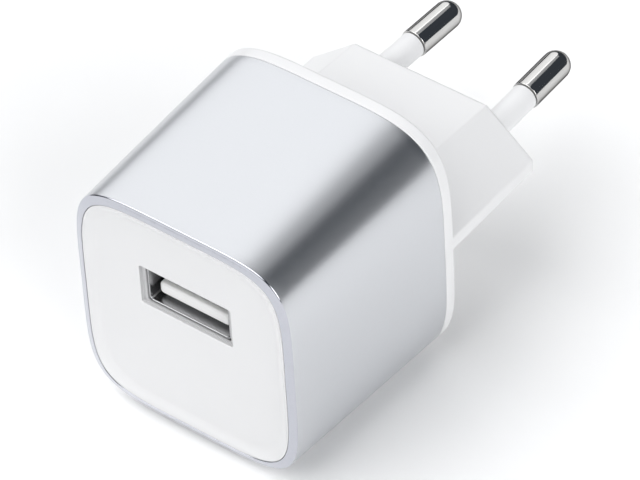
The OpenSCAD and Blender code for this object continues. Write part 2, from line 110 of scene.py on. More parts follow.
# Front cover: a flat face in a dished border, with four snap hooks behind it
DISH_DEPTH = 0.6
DISH_W = 1.6
FACE_Y = LIP_Y + DISH_DEPTH
COVER_BACK_Y = LIP_Y + 1.75
HOOK_X = 6
HOOK_W = 5
HOOK_T = 1.2
HOOK_END_Y = COVER_BACK_Y + 5.2
HOOK_SIDES = (-HOOK_X, HOOK_X)

# Port: a shallow opening, then a narrower throat with a thin lip round the shell's front
PORT_Z = 4.1
PORT_W = 12.5
PORT_H = 5.12
OPENING = (PORT_W + 1.9, PORT_H + 1.18)
THROAT = (PORT_W + 0.7, PORT_H + 0.94)
THROAT_DEPTH = 0.5
THROAT_LIP = 0.3
THROAT_RELIEF = 0.5
SHELL_T = 0.3
TONGUE_W = 11.1
TONGUE_T = 1.84
TONGUE_BOTTOM = PORT_Z - PORT_H / 2 + 0.65

# Housing and nose. Draft is what each half size gains from the nose's end to the rim
RIM_T = 1.95
RIM_Y = REAR_Y + RIM_T
TUB_WALL = 1.4
TUB_FRONT_Y = COVER_BACK_Y + GAP
TUB_FLOOR_Y = REAR_Y - 0.8
NOSE_HALF_H = 6.8
NOSE_HALF_FLAT = 10.55
NOSE_HALF_W = 17.7
NOSE_SIDE_H = 0.95
NOSE_DRAFT_H = 1.05
NOSE_DRAFT_W = 0.2
NOSE_CORNER_R = 0.6
NOSE_WALL = 1.8
NOSE_END_WALL = 2
RAIL_REACH = 13.1
RAIL_T = 0.6
PEG_X = 4.6
PEG_R = 0.9
PEG_END_Y = -6.45

# Pins, which lean towards each other
PIN_R = 2.0
PIN_LEN = 19.0
PIN_SLEEVE_LEN = 10.0
PIN_SLEEVE_R = 1.84
SHANK_R = 1.5
PIN_HALF_GAP = 9.3
PIN_TIP_HALF_GAP = 8.75
PIN_TILT = atan((PIN_HALF_GAP - PIN_TIP_HALF_GAP) / PIN_LEN)

# Board, and how high the bodies of the parts reach below it
BOARD_Z, BOARD_TOP = (corner.z for corner in span("main_board"))
PART_TOP = BOARD_Z - 0.8
TIN = (0.70, 0.70, 0.72)


# ------------------------------------------------------------------ camera, lights and room

def aim(azimuth, elevation):
    """Unit vector from the object towards a place: azimuth 0 is -Y and 90 is +X."""
    a, e = radians(azimuth), radians(elevation)
    return Vector((sin(a) * cos(e), -cos(a) * cos(e), sin(e)))


def make_camera():
    """A long lens, above and to the right of the port, with a slight roll."""
    target = Vector((3.7, -26.8, 0.1)) * MM
    distance = 661.5 * MM
    back = aim(39.98, 43.32)
    roll = Quaternion((0, 0, 1), radians(-3.67))
    data = bpy.data.cameras.new("camera")
    data.sensor_width = 36
    data.lens = 295.3
    data.clip_end = 100
    camera = bpy.data.objects.new("camera", data)
    camera.location = target + back * distance
    camera.rotation_mode = "QUATERNION"
    camera.rotation_quaternion = (-back).to_track_quat("-Z", "Y") @ roll
    bpy.context.scene.collection.objects.link(camera)
    bpy.context.scene.camera = camera


def soft_light(name, azimuth, elevation, spread, radiance):
    """A round white softbox, far away, that fills a cone of this many degrees."""
    data = bpy.data.lights.new(name, "SUN")
    data.angle = radians(spread)
    data.energy = radiance * pi * sin(radians(spread) / 2) ** 2
    light = bpy.data.objects.new(name, data)
    light.rotation_mode = "QUATERNION"
    light.rotation_quaternion = aim(azimuth, elevation).to_track_quat("Z", "Y")
    bpy.context.scene.collection.objects.link(light)


def make_lights():
    """Four softboxes, and plain display colours."""
    soft_light("back_left_softbox", 232, 38, 52, 1.3)
    soft_light("overhead_panel", 199, 64, 36, 0.45)
    soft_light("front_softbox", 331, 54, 64, 2.85)
    soft_light("right_softbox", 72, 27, 42, 4.2)
    bpy.context.scene.view_settings.view_transform = "Standard"


def make_world():
    """A dim blue-grey room, with a low pale wall that meets the floor at the horizon."""
    pale_wall, dim_room = (1, 1, 1, 1), (0.050, 0.058, 0.070, 1)
    # The wall starts to fade at the first height and is gone at the second, as sines of elevation
    fade_start, fade_end = 0.012, 0.028
    world = bpy.data.worlds.new("studio")
    world.use_nodes = True
    tree = world.node_tree
    where = tree.nodes.new("ShaderNodeTexCoord")
    parts = tree.nodes.new("ShaderNodeSeparateXYZ")
    height = tree.nodes.new("ShaderNodeMapRange")
    height.inputs["From Min"].default_value = fade_start
    height.inputs["From Max"].default_value = fade_end
    wall = tree.nodes.new("ShaderNodeMix")
    wall.data_type = "RGBA"
    for socket in wall.inputs:
        if socket.type == "RGBA":
            socket.default_value = pale_wall if socket.name == "A" else dim_room
    colour = next(socket for socket in wall.outputs if socket.type == "RGBA")
    tree.links.new(where.outputs["Generated"], parts.inputs["Vector"])
    tree.links.new(parts.outputs["Z"], height.inputs["Value"])
    tree.links.new(height.outputs["Result"], wall.inputs["Factor"])
    tree.links.new(colour, tree.nodes["Background"].inputs["Color"])
    bpy.context.scene.world = world


# ------------------------------------------------------------------ materials

class Paint:
    """A material under construction: one Principled shader fed by procedural patterns."""

    def __init__(self, name, colour, roughness, metallic=0.0, **sockets):
        self.material = bpy.data.materials.new(name)
        self.material.use_nodes = True
        self.tree = self.material.node_tree
        self.shader = self.tree.nodes["Principled BSDF"]
        self.material.diffuse_color = (*colour, 1)
        self.set(Base_Color=(*colour, 1), Roughness=roughness, Metallic=metallic, **sockets)
        self.normal = None

    def set(self, **sockets):
        """Sets the shader's own sockets, named with _ for each space."""
        for name, value in sockets.items():
            self.shader.inputs[name.replace("_", " ")].default_value = value

    def node(self, kind, **values):
        """A new node with these settings."""
        made = self.tree.nodes.new(kind)
        for name, value in values.items():
            setattr(made, name, value)
        return made

    def link(self, source, target):
        self.tree.links.new(source, target)

    def place(self, stretch=(1, 1, 1)):
        """Coordinates in millimetres along the object's axes, stretched for drawn textures."""
        where = self.node("ShaderNodeTexCoord")
        mapping = self.node("ShaderNodeMapping")
        mapping.inputs["Scale"].default_value = [s / MM for s in stretch]
        self.link(where.outputs["Object"], mapping.inputs["Vector"])
        return mapping.outputs["Vector"]

    def noise(self, size, detail=2.0, stretch=(1, 1, 1), distortion=0.0):
        """Noise whose blotches are about size millimetres across."""
        made = self.node("ShaderNodeTexNoise")
        made.inputs["Scale"].default_value = 1 / size
        made.inputs["Detail"].default_value = detail
        made.inputs["Distortion"].default_value = distortion
        self.link(self.place(stretch), made.inputs["Vector"])
        return made.outputs["Fac"]

    def spread(self, value, low, high, start=0.3, end=0.7):
        """A value mapped from start..end to low..high."""
        made = self.node("ShaderNodeMapRange")
        for name, number in (("From Min", start), ("From Max", end), ("To Min", low), ("To Max", high)):
            made.inputs[name].default_value = number
        self.link(value, made.inputs["Value"])
        return made.outputs["Result"]

    def mix(self, factor, low, high):
        """A colour between low and high by factor."""
        made = self.node("ShaderNodeMix", data_type="RGBA")
        self.link(factor, made.inputs["Factor"])
        for name, colour in (("A", low), ("B", high)):
            socket = next(s for s in made.inputs if s.name == name and s.type == "RGBA")
            if isinstance(colour, tuple):
                socket.default_value = (*colour, 1)
            else:
                self.link(colour, socket)
        return next(s for s in made.outputs if s.type == "RGBA")

    def bump(self, height, depth):
        """Raises the surface by up to depth millimetres where height is 1."""
        made = self.node("ShaderNodeBump")
        made.inputs["Strength"].default_value = 1
        made.inputs["Distance"].default_value = depth * MM
        self.link(height, made.inputs["Height"])
        if self.normal is not None:
            self.link(self.normal, made.inputs["Normal"])
        self.normal = made.outputs["Normal"]
        self.link(self.normal, self.shader.inputs["Normal"])

    def rough(self, value):
        self.link(value, self.shader.inputs["Roughness"])

    def colour(self, value):
        self.link(value, self.shader.inputs["Base Color"])


def shade(colour, factor):
    """A darker or lighter version of a colour."""
    return tuple(c * factor for c in colour)


def moulded_plastic(name, colour, roughness, texture, grain=0.35, **sockets):
    """Plastic with a faint cloudiness, a moulded skin and a slightly uneven gloss."""
    paint = Paint(name, colour, roughness, **sockets)
    paint.colour(paint.mix(paint.noise(9, 2), shade(colour, 0.98), colour))
    paint.rough(paint.spread(paint.noise(5, 1), roughness * 0.9, roughness * 1.1, 0.15, 0.85))
    paint.bump(paint.noise(grain, 2), texture)
    return paint.material


def satin_aluminium():
    """Bead-blasted, anodised aluminium with a fine even grain."""
    colour = (0.66, 0.672, 0.695)
    paint = Paint("satin_aluminium", colour, 0.3, 1.0)
    paint.colour(paint.mix(paint.noise(0.12, 2), shade(colour, 0.95), colour))
    paint.rough(paint.spread(paint.noise(0.3, 3), 0.32, 0.36))
    paint.bump(paint.noise(0.07, 2), 0.0008)
    return paint.material


def polished_aluminium():
    """The cut and polished bevel: bright, with a slightly uneven gloss."""
    colour = (0.56, 0.57, 0.62)
    paint = Paint("polished_aluminium", colour, 0.16, 1.0)
    paint.colour(paint.mix(paint.noise(1.5, 3), shade(colour, 0.95), colour))
    paint.rough(paint.spread(paint.noise(0.5, 3), 0.12, 0.2))
    paint.bump(paint.noise(0.05, 2), 0.0003)
    return paint.material


def nickel_plate():
    """Bright nickel over drawn brass: hairlines along the pin, a trace of handling haze, and a painted dark
    outline where the pin is seen edge-on.
    """
    colour = (0.66, 0.654, 0.642)
    # Near-black edge tint: darkens reflections at grazing angles, a painted dark outline along the pin's
    # silhouette
    painted_dark_outline = (0.02, 0.02, 0.02, 1)
    paint = Paint("nickel_plate", colour, 0.09, 1.0, Specular_Tint=painted_dark_outline)
    paint.colour(paint.mix(paint.noise(0.25, 3, stretch=(1, 0.08, 1)), shade(colour, 0.86), colour))
    paint.rough(paint.spread(paint.noise(0.8, 3, stretch=(1, 0.3, 1)), 0.07, 0.13))
    paint.bump(paint.noise(0.12, 2, stretch=(1, 0.03, 1)), 0.0006)
    return paint.material


def stamped_steel():
    """Tinned sheet with faint rolling marks along its length."""
    colour = (0.40, 0.40, 0.41)
    paint = Paint("stamped_steel", colour, 0.22, 1.0)
    paint.colour(paint.mix(paint.noise(0.5, 3, stretch=(1, 0.1, 1)), shade(colour, 0.93), colour))
    paint.rough(paint.spread(paint.noise(0.3, 2), 0.19, 0.25))
    paint.bump(paint.noise(0.05, 2, stretch=(1, 0.04, 1)), 0.0004)
    return paint.material


def gold_flash():
    """Thin gold over spring bronze, with paler worn streaks along its length."""
    colour = (0.92, 0.70, 0.30)
    paint = Paint("gold_flash", colour, 0.2, 1.0)
    paint.colour(paint.mix(paint.noise(0.5, 4, stretch=(1, 0.3, 1)), colour, (0.95, 0.80, 0.48)))
    paint.rough(paint.spread(paint.noise(0.2, 3, stretch=(1, 0.1, 1)), 0.14, 0.28))
    paint.bump(paint.noise(0.06, 2, stretch=(1, 0.05, 1)), 0.001)
    return paint.material


def plain_metal(name, colour, roughness, size=0.6):
    """Sheet or wire metal with uneven tarnish and fine drawing marks."""
    paint = Paint(name, colour, roughness, 1.0)
    paint.colour(paint.mix(paint.noise(size, 4), shade(colour, 0.72), colour))
    paint.rough(paint.spread(paint.noise(size / 2, 3), roughness * 0.75, roughness * 1.3))
    paint.bump(paint.noise(0.08, 2, stretch=(1, 0.1, 1)), 0.002)
    return paint.material


def circuit_board():
    """Green solder resist over copper traces, with the glass weave just showing."""
    resist, trace = (0.018, 0.12, 0.05), (0.035, 0.19, 0.08)
    paint = Paint("circuit_board", resist, 0.3)
    cells = paint.node("ShaderNodeTexVoronoi", feature="DISTANCE_TO_EDGE", distance="CHEBYCHEV")
    cells.inputs["Scale"].default_value = 0.45
    paint.link(paint.place(), cells.inputs["Vector"])
    traces = paint.spread(cells.outputs["Distance"], 1, 0, 0.055, 0.085)
    weave = paint.noise(0.4, 1, stretch=(1, 0.25, 1))
    tinted = paint.mix(weave, resist, shade(resist, 1.35))
    paint.colour(paint.mix(traces, tinted, trace))
    paint.rough(paint.spread(paint.noise(1.5, 3), 0.24, 0.38))
    paint.bump(traces, 0.03)
    paint.bump(weave, 0.006)
    return paint.material


def sintered_ferrite():
    """Dark grey ceramic, ground matt, with pores."""
    colour = (0.055, 0.055, 0.06)
    paint = Paint("sintered_ferrite", colour, 0.55)
    paint.colour(paint.mix(paint.noise(0.12, 4), shade(colour, 0.5), shade(colour, 1.5)))
    paint.rough(paint.spread(paint.noise(0.4, 4), 0.42, 0.7))
    paint.bump(paint.noise(0.09, 5), 0.012)
    return paint.material


def copper_winding():
    """Layers of enamelled wire wound round the bobbin, with painted shade in the grooves between turns."""
    light, painted_groove_shade = (0.78, 0.33, 0.12), (0.30, 0.09, 0.03)
    paint = Paint("copper_winding", light, 0.28, 0.9, Coat_Weight=0.5)
    wires = paint.node("ShaderNodeTexWave", wave_type="BANDS", bands_direction="Z")
    wires.inputs["Scale"].default_value = 1.6
    wires.inputs["Distortion"].default_value = 0.25
    paint.link(paint.place(), wires.inputs["Vector"])
    # Colour runs from dark in the grooves between turns to light on their crests: painted shade between the
    # wires
    paint.colour(paint.mix(wires.outputs["Fac"], painted_groove_shade, light))
    paint.rough(paint.spread(paint.noise(0.5, 2), 0.2, 0.36))
    paint.bump(wires.outputs["Fac"], 0.09)
    return paint.material


def polyester_tape():
    """Glossy yellow tape with faint ridges from the wires beneath."""
    colour = (0.86, 0.62, 0.05)
    paint = Paint("polyester_tape", colour, 0.2, Coat_Weight=0.3)
    paint.colour(paint.mix(paint.noise(1.4, 3), shade(colour, 0.8), colour))
    paint.rough(paint.spread(paint.noise(0.8, 3), 0.14, 0.32))
    paint.bump(paint.noise(0.6, 2, stretch=(0.15, 0.15, 1)), 0.03)
    return paint.material


def fish_paper():
    """Pressed insulation paper with short fibres."""
    colour = (0.62, 0.66, 0.52)
    paint = Paint("fish_paper", colour, 0.8)
    fibres = paint.noise(0.25, 6, stretch=(1, 1, 0.25), distortion=0.6)
    paint.colour(paint.mix(fibres, shade(colour, 0.82), shade(colour, 1.1)))
    paint.rough(paint.spread(fibres, 0.7, 0.9))
    paint.bump(fibres, 0.02)
    return paint.material


def threshold(paint, source, axis, start, end):
    """1 where a vector's X, Y or Z is above end, 0 where it is below start."""
    where = paint.node("ShaderNodeTexCoord")
    parts = paint.node("ShaderNodeSeparateXYZ")
    paint.link(where.outputs[source], parts.inputs["Vector"])
    return paint.spread(parts.outputs[axis], 0, 1, start, end)


def above_height(paint, z):
    """1 above a height in millimetres, 0 below it."""
    return threshold(paint, "Object", "Z", z * MM, (z + 0.02) * MM)


def bare_metal(paint, mask, body, colour, roughness):
    """Turns the masked part of a painted body into bare metal."""
    paint.colour(paint.mix(mask, body, colour))
    paint.link(mask, paint.shader.inputs["Metallic"])
    paint.rough(paint.spread(mask, roughness, 0.22, 0, 1))


def shrink_sleeve(name, colour, stripe):
    """An electrolytic can: printed sleeve with a plain stripe, bare aluminium end and tinned leads."""
    bare_end = (0.75, 0.75, 0.76)
    paint = Paint(name, colour, 0.25, Coat_Weight=0.2)
    band = threshold(paint, "Normal", "Y", 0.78, 0.8)
    sleeve = paint.mix(paint.noise(2, 3), shade(colour, 0.8), shade(colour, 1.15))
    striped = paint.mix(band, sleeve, stripe)
    ended = paint.mix(threshold(paint, "Normal", "Z", -0.97, -0.99), striped, bare_end)
    leads = above_height(paint, PART_TOP)
    bare_metal(paint, leads, ended, TIN, 0.25)
    paint.bump(paint.noise(0.9, 2, stretch=(1, 1, 0.3)), 0.015)
    return paint.material


def coated_part(name, colour, roughness, bands=None, leads_above=None):
    """A dipped or coated body, plain or with painted bands, on tinned leads."""
    paint = Paint(name, colour, roughness)
    body = paint.mix(paint.noise(0.6, 4), shade(colour, 0.8), shade(colour, 1.15))
    if bands:
        rings = paint.node("ShaderNodeTexWave", wave_type="BANDS", bands_direction="Z")
        rings.inputs["Scale"].default_value = 0.22
        paint.link(paint.place(), rings.inputs["Vector"])
        body = paint.mix(paint.spread(rings.outputs["Fac"], 0, 1, 0.93, 0.95), body, bands)
    leads = above_height(paint, PART_TOP if leads_above is None else leads_above)
    bare_metal(paint, leads, body, TIN, roughness)
    paint.bump(paint.noise(0.3, 4), 0.02)
    return paint.material


def moulded_chip():
    """Black epoxy with a fine sparkle, on tinned feet that meet the board."""
    colour = (0.03, 0.03, 0.034)
    paint = Paint("moulded_chip", colour, 0.5)
    body = paint.mix(paint.noise(0.1, 4), shade(colour, 0.7), shade(colour, 1.8))
    foot_top = BOARD_TOP + 0.12
    above = above_height(paint, BOARD_TOP - 0.02)
    below = threshold(paint, "Object", "Z", (foot_top + 0.03) * MM, foot_top * MM)
    both = paint.node("ShaderNodeMath", operation="MULTIPLY")
    paint.link(above, both.inputs[0])
    paint.link(below, both.inputs[1])
    bare_metal(paint, both.outputs["Value"], body, TIN, 0.5)
    paint.bump(paint.noise(0.12, 4), 0.01)
    return paint.material


def make_paints():
    """The material for each of the record's slots."""
    return {
        "satin_aluminium": satin_aluminium(),
        "gloss_white": moulded_plastic("gloss_white", (0.70, 0.70, 0.705), 0.13, 0.0004, grain=2,
                                       Coat_Weight=0.4),
        "housing_white": moulded_plastic("housing_white", (0.80, 0.80, 0.805), 0.3, 0.0006, grain=1.2),
        "sleeve_white": moulded_plastic("sleeve_white", (0.82, 0.82, 0.825), 0.38, 0.0006, grain=1),
        "insulator_white": moulded_plastic("insulator_white", (0.82, 0.82, 0.81), 0.42, 0.001),
        "nickel": nickel_plate(),
        "stamped_steel": stamped_steel(),
        "gold_contact": gold_flash(),
        "brass_strip": plain_metal("rolled_brass", (0.78, 0.60, 0.27), 0.28),
        "board_green": circuit_board(),
        "ferrite": sintered_ferrite(),
        "bobbin_black": moulded_plastic("bobbin_black", (0.02, 0.02, 0.022), 0.4, 0.008),
        "copper_wire": copper_winding(),
        "yellow_tape": polyester_tape(),
        "capacitor_black": shrink_sleeve("capacitor_black", (0.02, 0.02, 0.024), (0.55, 0.56, 0.57)),
        "capacitor_blue": shrink_sleeve("capacitor_blue", (0.03, 0.05, 0.22), (0.60, 0.62, 0.65)),
        "disc_blue": coated_part("disc_blue", (0.02, 0.12, 0.50), 0.3),
        "resistor_body": coated_part("resistor_body", (0.16, 0.34, 0.42), 0.55, bands=(0.45, 0.26, 0.08)),
        "choke_sleeve": coated_part("choke_sleeve", (0.04, 0.06, 0.045), 0.45),
        "chip_black": moulded_chip(),
        "chip_brown": coated_part("fired_ceramic", (0.23, 0.15, 0.09), 0.5, leads_above=BOARD_TOP + 1),
        "fish_paper": fish_paper(),
        "tinned_wire": plain_metal("tinned_wire", TIN, 0.2),
    }


def pale_floor():
    """A plain white studio floor."""
    paint = Paint("pale_floor", (0.97, 0.97, 0.97), 0.7, Specular_IOR_Level=0.2)
    paint.colour(paint.mix(paint.noise(900, 2), (0.965, 0.965, 0.965), (0.975, 0.975, 0.975)))
    return paint.material


# ------------------------------------------------------------------ mesh building

def turns(count):
    """Evenly spaced angles once round a circle."""
    return [2 * pi * i / count for i in range(count)]


def arc(from_angle, to_angle, steps):
    """Sines and cosines of evenly spaced angles, for rounded edges."""
    return [(sin(radians(from_angle + (to_angle - from_angle) * k / steps)),
             cos(radians(from_angle + (to_angle - from_angle) * k / steps)))
            for k in range(steps + 1)]


def squircle(half_w, half_h, power, y):
    """One loop of the body's rounded-square outline."""
    loop = []
    for a in turns(RING_POINTS):
        reach = (abs(cos(a) / half_w) ** power + abs(sin(a) / half_h) ** power) ** (-1 / power)
        loop.append(Vector((reach * cos(a), y, BODY_Z + reach * sin(a))))
    return loop


def body_loop(y, inset, shape_y=None):
    """The body's outline moved in by inset, with the size it has at shape_y."""
    t = ((y if shape_y is None else shape_y) - FRONT_Y) / (REAR_Y - FRONT_Y)
    half_w = FRONT_HALF_W + (REAR_HALF_W - FRONT_HALF_W) * t
    half_h = FRONT_HALF_H + (REAR_HALF_H - FRONT_HALF_H) * t
    power = FRONT_POWER + (REAR_POWER - FRONT_POWER) * t
    return squircle(half_w - inset, half_h - inset, power, y)


def rounded_polygon(corners, radius, steps):
    """An X-Z outline with each corner replaced by an arc. corners run anticlockwise."""
    outline = []
    count = len(corners)
    for i, corner in enumerate(corners):
        before = (corners[i - 1] - corner).normalized()
        after = (corners[(i + 1) % count] - corner).normalized()
        half_angle = before.angle(after) / 2
        middle = corner + (before + after).normalized() * radius / sin(half_angle)
        start = corner + before * radius / tan(half_angle) - middle
        turn = pi - 2 * half_angle
        for k in range(steps + 1):
            a = turn * k / steps
            outline.append(middle + Vector((start.x * cos(a) - start.y * sin(a),
                                            start.x * sin(a) + start.y * cos(a))))
    return outline


def rounded_rect(width, height, radius, y, centre_z, steps=8):
    """A rounded rectangle as a loop at depth y, centred on X."""
    w, h = width / 2, height / 2
    corners = [Vector(c) for c in ((w, -h), (w, h), (-w, h), (-w, -h))]
    radius = min(radius, 0.499 * width, 0.499 * height)
    return [Vector((p.x, y, centre_z + p.y)) for p in rounded_polygon(corners, radius, steps)]


class Solid:
    """Loops of points joined into one closed surface. Each face has a material number."""

    def __init__(self):
        self.points = []
        self.faces = []
        self.groups = []
        self.smooth = []

    def face(self, numbers, group=0, smooth=True):
        """One face through these points."""
        self.faces.append(tuple(numbers))
        self.groups.append(group)
        self.smooth.append(smooth)

    def add(self, loop):
        """Adds points and returns their numbers."""
        start = len(self.points)
        self.points += loop
        return list(range(start, start + len(loop)))

    def join(self, first, second, group=0):
        """A band of faces between two loops of the same length."""
        count = len(first)
        for i in range(count):
            j = (i + 1) % count
            self.face((first[i], first[j], second[j], second[i]), group)

    def skin(self, loops, groups=None):
        """Bands through a list of loops of points. Returns the first and last loop's numbers."""
        rings = [self.add(loop) for loop in loops]
        for k in range(len(rings) - 1):
            self.join(rings[k], rings[k + 1], groups[k] if groups else 0)
        return rings[0], rings[-1]

    def fill(self, *rings):
        """A flat face bounded by the first ring, with the other rings as holes."""
        flat = [[self.points[i].xzy for i in ring] for ring in rings]
        numbers = [i for ring in rings for i in ring]
        for triangle in tessellate_polygon(flat):
            self.face([numbers[i] for i in triangle], smooth=False)


def finish_mesh(mesh):
    """Faces outwards, and sharp edges where smooth faces meet at an angle."""
    work = bmesh.new()
    work.from_mesh(mesh)
    bmesh.ops.remove_doubles(work, verts=work.verts, dist=1e-8)
    bmesh.ops.recalc_face_normals(work, faces=work.faces)
    for edge in work.edges:
        edge.smooth = len(edge.link_faces) == 2 and edge.calc_face_angle() < SHARP_EDGE
    work.to_mesh(mesh)
    work.free()


def build(solid, name, materials=()):
    """A Blender object from a Solid."""
    mesh = bpy.data.meshes.new(name)
    mesh.from_pydata([p * MM for p in solid.points], [], solid.faces)
    mesh.polygons.foreach_set("material_index", solid.groups)
    mesh.polygons.foreach_set("use_smooth", solid.smooth)
    for material in materials:
        mesh.materials.append(material)
    finish_mesh(mesh)
    made = bpy.data.objects.new(name, mesh)
    bpy.context.scene.collection.objects.link(made)
    return made


def combine(target, operation, *others):
    """Applies boolean unions or differences to target and removes the other objects."""
    for other in others:
        modifier = target.modifiers.new("combine", "BOOLEAN")
        modifier.operation = operation
        modifier.object = other
        modifier.solver = "EXACT"
    bpy.context.view_layer.update()
    evaluated = target.evaluated_get(bpy.context.evaluated_depsgraph_get())
    mesh = bpy.data.meshes.new_from_object(evaluated)
    target.modifiers.clear()
    target.data = mesh
    for other in others:
        bpy.data.objects.remove(other)
    finish_mesh(mesh)


def stand_for(piece, slot, *nodes, body=BODY):
    """The piece rides on its body and is shown in place of these CAD nodes."""
    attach(piece, body)
    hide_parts(*nodes)


def revolve(solid, profile, origin, direction, count=112):
    """Turns (radius, distance along) points round an axis. Zero radii close the ends."""
    axis = direction.normalized()
    side = axis.cross(Vector((0, 0, 1))).normalized()
    up = side.cross(axis)
    rings = []
    for radius, along in profile:
        middle = origin + axis * along
        if radius == 0:
            rings.append(solid.add([middle]))
        else:
            rings.append(solid.add([middle + (side * cos(a) + up * sin(a)) * radius for a in turns(count)]))
    for k in range(len(rings) - 1):
        first, second = rings[k], rings[k + 1]
        if len(first) == len(second):
            solid.join(first, second)
            continue
        tip, ring = (first[0], second) if len(first) == 1 else (second[0], first)
        for i in range(count):
            solid.face((ring[i], ring[(i + 1) % count], tip))


def prism(outline, x, name, materials=()):
    """A side outline of (y, z) points, stretched between two X limits."""
    solid = Solid()
    first, last = solid.skin([[Vector((px, y, z)) for y, z in outline] for px in x])
    solid.fill(first)
    solid.fill(last)
    return build(solid, name, materials)


def slab(x, y, z, name, materials=()):
    """A plain block between pairs of limits."""
    return prism([(y[0], z[0]), (y[1], z[0]), (y[1], z[1]), (y[0], z[1])], x, name, materials)


# ------------------------------------------------------------------ outside pieces

def make_metal_sleeve(satin, polished):
    """The tapered aluminium sleeve with its polished front bevel."""
    solid = Solid()
    edge, rear_edge = 0.2, 0.12
    loops = [(REAR_Y, SLEEVE_WALL), (REAR_Y, rear_edge)]
    loops += [(REAR_Y - rear_edge * (1 - c), rear_edge * (1 - s)) for s, c in arc(15, 90, 4)]
    steps = 24
    for k in range(1, steps + 1):
        loops.append((REAR_Y - rear_edge + (FRONT_Y + edge - REAR_Y + rear_edge) * k / steps, 0))
    satin_bands = len(loops) - 1
    loops += [(FRONT_Y + edge * (1 - s), edge * (1 - c)) for s, c in arc(12, 78, 5)]
    loops += [(FRONT_Y - 0.01, edge + 0.02), (FRONT_Y - 0.03, edge + 0.1)]
    crown_steps, crown_power = 5, 1.3
    for k in range(1, crown_steps + 1):
        t = k / crown_steps
        inset = edge + 0.1 + (SLEEVE_WALL - edge - 0.18) * t
        loops.append((FRONT_Y - 0.03 - (BEVEL_DEPTH - 0.04) * (1 - (1 - t) ** crown_power), inset))
    loops += [(LIP_Y, SLEEVE_WALL - 0.05), (LIP_Y, SLEEVE_WALL - 0.03), (LIP_Y + 0.03, SLEEVE_WALL)]
    polished_bands = len(loops) - 1 - satin_bands
    inner_loops = [(LIP_Y + 0.25, SLEEVE_WALL), (REAR_Y - 5, SLEEVE_WALL)]
    rings = [body_loop(y, inset, max(y, FRONT_Y)) for y, inset in loops + inner_loops]
    groups = [0] * satin_bands + [1] * polished_bands + [0] * len(inner_loops)
    first, last = solid.skin(rings, groups)
    solid.join(last, first)
    stand_for(build(solid, "metal_sleeve_smooth", [satin, polished]), "satin_aluminium", "metal_sleeve")


def cover_hook(x, up, white):
    """One snap hook behind the cover: an arm with a barb on its outer side."""
    room_to_flex = 0.45
    loop = body_loop(COVER_BACK_Y, FIT_INSET + TUB_WALL + room_to_flex)
    outer = loop[RING_POINTS // 4].z - BODY_Z
    root_y, tip_y, catch_y = COVER_BACK_Y - 0.2, HOOK_END_Y - 0.24, HOOK_END_Y - 1.8
    barb, slope = 1, 0.86
    side = [(root_y, -HOOK_T), (HOOK_END_Y, -HOOK_T), (HOOK_END_Y, 0), (tip_y, 0)]
    side += [(tip_y - barb / slope, barb), (catch_y, barb), (catch_y, 0), (root_y, 0)]
    outline = [(y, BODY_Z + up * (outer + z)) for y, z in side]
    return prism(outline, (x - HOOK_W / 2, x + HOOK_W / 2), "hook", [white])


def make_front_cover(white, recess_painted_shade):
    """The glossy cover: a flat face in a dished border, with the stepped port opening, whose inner walls are
    painted a darker grey for shade.
    """
    solid = Solid()
    edge, front_y = FIT_INSET, LIP_Y + 0.02
    loops = [(COVER_BACK_Y, edge + 0.1), (COVER_BACK_Y - 0.1, edge), (LIP_Y + 0.12, edge)]
    loops += [(LIP_Y + 0.04, edge + 0.02), (front_y, edge + 0.06)]
    steps, dish_power = 12, 1.8
    for k in range(1, steps + 1):
        t = k / steps
        loops.append((front_y + (FACE_Y - front_y) * (1 - (1 - t) ** dish_power), edge + 0.06 + DISH_W * t))
    loops.append((FACE_Y, edge + DISH_W + 0.2))
    back, rim = solid.skin([body_loop(y, inset, LIP_Y if y < LIP_Y + 1 else y) for y, inset in loops])

    def opening(grow, y, radius):
        return rounded_rect(OPENING[0] + 2 * grow, OPENING[1] + 2 * grow, radius, y, PORT_Z)

    def throat(grow, y, radius=0.5):
        return rounded_rect(THROAT[0] + 2 * grow, THROAT[1] + 2 * grow, radius, y, PORT_Z)

    step_y = FACE_Y + THROAT_DEPTH
    mouth_round, corner_r = 0.09, 0.35
    inner = [opening(0.3, FACE_Y, 0.6), opening(mouth_round, FACE_Y, corner_r + mouth_round)]
    for s, c in arc(22, 90, 3):
        grow = mouth_round * (1 - s)
        inner.append(opening(grow, FACE_Y + mouth_round * (1 - c), corner_r + grow))
    inner += [opening(-0.02, step_y - 0.08, 0.33), opening(-0.04, step_y - 0.02, 0.31)]
    inner += [opening(-0.1, step_y, 0.3), throat(0.04, step_y), throat(0.01, step_y + 0.01)]
    inner += [throat(0, step_y + 0.05), throat(0, step_y + THROAT_LIP)]
    inner += [throat(THROAT_RELIEF, step_y + THROAT_LIP, 1), throat(THROAT_RELIEF, COVER_BACK_Y, 1)]
    # The opening's walls past its mouth are matt and painted a darker grey: painted shade inside the recess
    glossy_bands = 4
    recess_painted_shade_bands = len(inner) - 1 - glossy_bands
    face_hole, back_hole = solid.skin(inner, [0] * glossy_bands + [1] * recess_painted_shade_bands)
    solid.fill(rim, face_hole)
    solid.fill(back, back_hole)
    cover = build(solid, "front_cover_smooth", [white, recess_painted_shade])
    combine(cover, "UNION", *[cover_hook(x, up, white) for x in HOOK_SIDES for up in (-1, 1)])
    stand_for(cover, "gloss_white", "front_cover")


